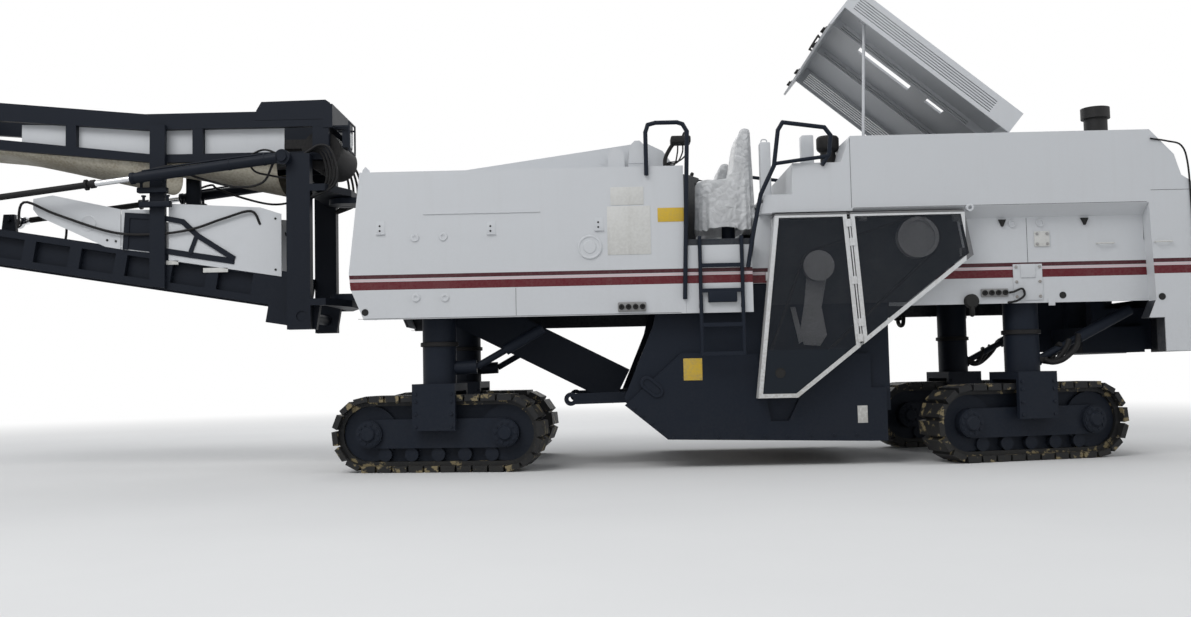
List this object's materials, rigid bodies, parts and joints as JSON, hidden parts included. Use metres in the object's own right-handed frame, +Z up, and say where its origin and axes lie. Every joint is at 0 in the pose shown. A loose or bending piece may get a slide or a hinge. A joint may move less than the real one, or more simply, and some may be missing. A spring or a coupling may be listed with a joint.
{
  "type": "cold planer milling machine",
  "caption": "Cold planer on steerable lifting tracks, with milling drum, belt drive, folded discharge conveyor and open engine hood",
  "frame": {"origin": "on the ground, at the middle of the machine's outer box", "axes": "+X is the direction of travel and points to the discharge conveyor, +Y is the machine's left, +Z is up"},
  "size_m": [11.08, 2.5368, 3.7893],
  "materials": {
    "frame_paint": "satin blue-black paint",
    "body_paint": "gloss white paint",
    "floor_paint": "satin blue-black paint",
    "ladder_paint": "satin blue-black paint",
    "rail_paint": "satin blue-black paint",
    "console_paint": "matt grey-black",
    "seat_cover": "clear dust cover over dark seats",
    "engine_metal": "painted casting",
    "cooler_metal": "dark fins",
    "stack_paint": "matt black",
    "housing_paint": "satin blue-black paint",
    "belt_rubber": "matt black rubber",
    "guard_paint": "light grey paint over steel mesh",
    "pulley_metal": "turned grey iron",
    "drum_metal": "worn and lightly rusted",
    "plate_paint": "satin blue-black paint",
    "boom_paint": "satin blue-black paint",
    "cylinder_paint": "satin blue-black paint",
    "rod_chrome": "polished rod",
    "prop_steel": "white paint",
    "track_paint": "satin blue-black paint",
    "shoe_metal": "worn shoes, brown dust",
    "column_paint": "satin blue-black paint"
  },
  "bodies": {
    "chassis": {"main_frame": "frame_paint", "leg_guides": "frame_paint", "guard_mesh": "guard_paint", "front_body": "body_paint", "platform": "floor_paint", "ladder": "ladder_paint", "handrails": "rail_paint", "console": "console_paint", "seats": "seat_cover", "engine_housing": "body_paint", "engine": "engine_metal", "radiator": "cooler_metal", "exhaust_stack": "stack_paint", "drum_housing": "housing_paint", "primary_conveyor": "frame_paint", "belt_guard": "guard_paint", "drive_belt": "belt_rubber"},
    "hood": {"hood": "body_paint"},
    "hood_prop": {"hood_prop": "prop_steel"},
    "guard_door": {"guard_door": "guard_paint", "door_mesh": "guard_paint"},
    "engine_pulley": {"engine_pulley": "pulley_metal"},
    "idler_pulley": {"idler_pulley": "pulley_metal"},
    "drum_pulley": {"drum_pulley": "pulley_metal"},
    "milling_drum": {"milling_drum": "drum_metal"},
    "side_plate_left": {"side_plate_left": "plate_paint"},
    "side_plate_right": {"side_plate_right": "plate_paint"},
    "scraper": {"scraper": "plate_paint"},
    "gradation_arm": {"gradation_arm": "plate_paint"},
    "slew_yoke": {"slew_yoke": "boom_paint"},
    "lower_conveyor": {"lower_boom": "boom_paint", "lower_belt": "belt_rubber", "lower_covers": "body_paint"},
    "upper_conveyor": {"upper_boom": "boom_paint", "upper_belt": "belt_rubber", "upper_covers": "body_paint", "head_lamp": "boom_paint"},
    "lift_barrels": {"lift_barrels": "cylinder_paint"},
    "lift_rods": {"lift_rods": "rod_chrome"},
    "leg_fl": {"column_fl": "column_paint"},
    "crawler_fl": {"track_frame_fl": "track_paint", "track_fl": "shoe_metal"},
    "leg_fr": {"column_fr": "column_paint"},
    "crawler_fr": {"track_frame_fr": "track_paint", "track_fr": "shoe_metal"},
    "leg_rl": {"column_rl": "column_paint"},
    "crawler_rl": {"track_frame_rl": "track_paint", "track_rl": "shoe_metal"},
    "leg_rr": {"column_rr": "column_paint"},
    "crawler_rr": {"track_frame_rr": "track_paint", "track_rr": "shoe_metal"}
  },
  "joints": [
    {"name": "lift_fl", "type": "slide", "parent": "chassis", "child": "leg_fl", "axis": [0, 0, 1], "range_m": [0, 0.515]},
    {"name": "lift_fr", "type": "slide", "parent": "chassis", "child": "leg_fr", "axis": [0, 0, 1], "range_m": [0, 0.515]},
    {"name": "lift_rl", "type": "slide", "parent": "chassis", "child": "leg_rl", "axis": [0, 0, 1], "range_m": [0, 0.515]},
    {"name": "lift_rr", "type": "slide", "parent": "chassis", "child": "leg_rr", "axis": [0, 0, 1], "range_m": [0, 0.515]},
    {"name": "steer_fl", "type": "hinge", "parent": "leg_fl", "child": "crawler_fl", "pos_m": [0.52, 0.9, 0.7], "axis": [0, 0, 1], "range_deg": [-14, 30]},
    {"name": "steer_fr", "type": "hinge", "parent": "leg_fr", "child": "crawler_fr", "pos_m": [0.52, -0.9, 0.7], "axis": [0, 0, 1], "range_deg": [-14, 30]},
    {"name": "steer_rl", "type": "hinge", "parent": "leg_rl", "child": "crawler_rl", "pos_m": [-4.17, 0.9, 0.7], "axis": [0, 0, 1], "range_deg": [-37, 7]},
    {"name": "steer_rr", "type": "hinge", "parent": "leg_rr", "child": "crawler_rr", "pos_m": [-4.17, -0.9, 0.7], "axis": [0, 0, 1], "range_deg": [-37, 7]},
    {"name": "drum_spin", "type": "hinge", "parent": "chassis", "child": "milling_drum", "pos_m": [-2.18, 0, 0.725], "axis": [0, 1, 0], "continuous": true},
    {"name": "belt_drive", "type": "hinge", "parent": "chassis", "child": "drum_pulley", "pos_m": [-2.18, 1.15, 0.725], "axis": [0, 1, 0], "continuous": true},
    {"name": "engine_output", "type": "hinge", "parent": "chassis", "child": "engine_pulley", "pos_m": [-3.287, 1.15, 1.768], "axis": [0, 1, 0], "continuous": true},
    {"name": "idler_turn", "type": "hinge", "parent": "chassis", "child": "idler_pulley", "pos_m": [-2.503, 1.15, 1.561], "axis": [0, 1, 0], "continuous": true},
    {"name": "hood_tilt", "type": "hinge", "parent": "chassis", "child": "hood", "pos_m": [-4.052, 0, 2.592], "axis": [0, -1, 0], "range_deg": [-39.4, 0]},
    {"name": "hood_prop_swing", "type": "hinge", "parent": "hood", "child": "hood_prop", "pos_m": [-2.96962, 1, 3.55872], "axis": [0, -1, 0], "range_deg": [-50.6, 0]},
    {"name": "guard_door_swing", "type": "hinge", "parent": "chassis", "child": "guard_door", "pos_m": [-2.818, 1.25, 0.85], "axis": [-0.0712, 0, -0.9975], "range_deg": [0, 110]},
    {"name": "side_plate_left_lift", "type": "slide", "parent": "chassis", "child": "side_plate_left", "axis": [0, 0, 1], "range_m": [0, 0.3]},
    {"name": "side_plate_right_lift", "type": "slide", "parent": "chassis", "child": "side_plate_right", "axis": [0, 0, 1], "range_m": [0, 0.3]},
    {"name": "scraper_lift", "type": "slide", "parent": "chassis", "child": "scraper", "axis": [0, 0, 1], "range_m": [0, 0.3]},
    {"name": "gradation_arm_lift", "type": "hinge", "parent": "chassis", "child": "gradation_arm", "pos_m": [-1.18, 0, 0.56], "axis": [0, -1, 0], "range_deg": [0, 15]},
    {"name": "conveyor_slew", "type": "hinge", "parent": "chassis", "child": "slew_yoke", "pos_m": [1.47, 0, 1.5], "axis": [0, 0, 1], "range_deg": [-45, 45]},
    {"name": "conveyor_lift", "type": "hinge", "parent": "slew_yoke", "child": "lower_conveyor", "pos_m": [1.74, 0, 1.29], "axis": [0, -1, 0], "range_deg": [-8, 12]},
    {"name": "conveyor_fold", "type": "hinge", "parent": "lower_conveyor", "child": "upper_conveyor", "pos_m": [5.44, 0, 2.62], "axis": [0, 1, 0], "range_deg": [0, 177]},
    {"name": "lift_barrel_swing", "type": "hinge", "parent": "slew_yoke", "child": "lift_barrels", "pos_m": [1.88, 0, 2.64], "axis": [0, -1, 0], "range_deg": [-9, 13.5]},
    {"name": "lift_rod_slide", "type": "slide", "parent": "lift_barrels", "child": "lift_rods", "axis": [0.9929, 0, -0.1189], "range_m": [-0.3, 0.2]}
  ],
  "couplings": [
    {"joint": "steer_fr", "follows": "steer_fl", "ratio": 1},
    {"joint": "steer_rr", "follows": "steer_rl", "ratio": 1},
    {"joint": "engine_output", "follows": "belt_drive", "ratio": 0.7188},
    {"joint": "idler_turn", "follows": "belt_drive", "ratio": 0.9583},
    {"joint": "hood_prop_swing", "follows": "hood_tilt", "ratio": 1.284},
    {"joint": "lift_barrel_swing", "follows": "conveyor_lift", "ratio": 1.01},
    {"joint": "lift_rod_slide", "follows": "conveyor_lift", "m_per_rad": -1.35}
  ]
}
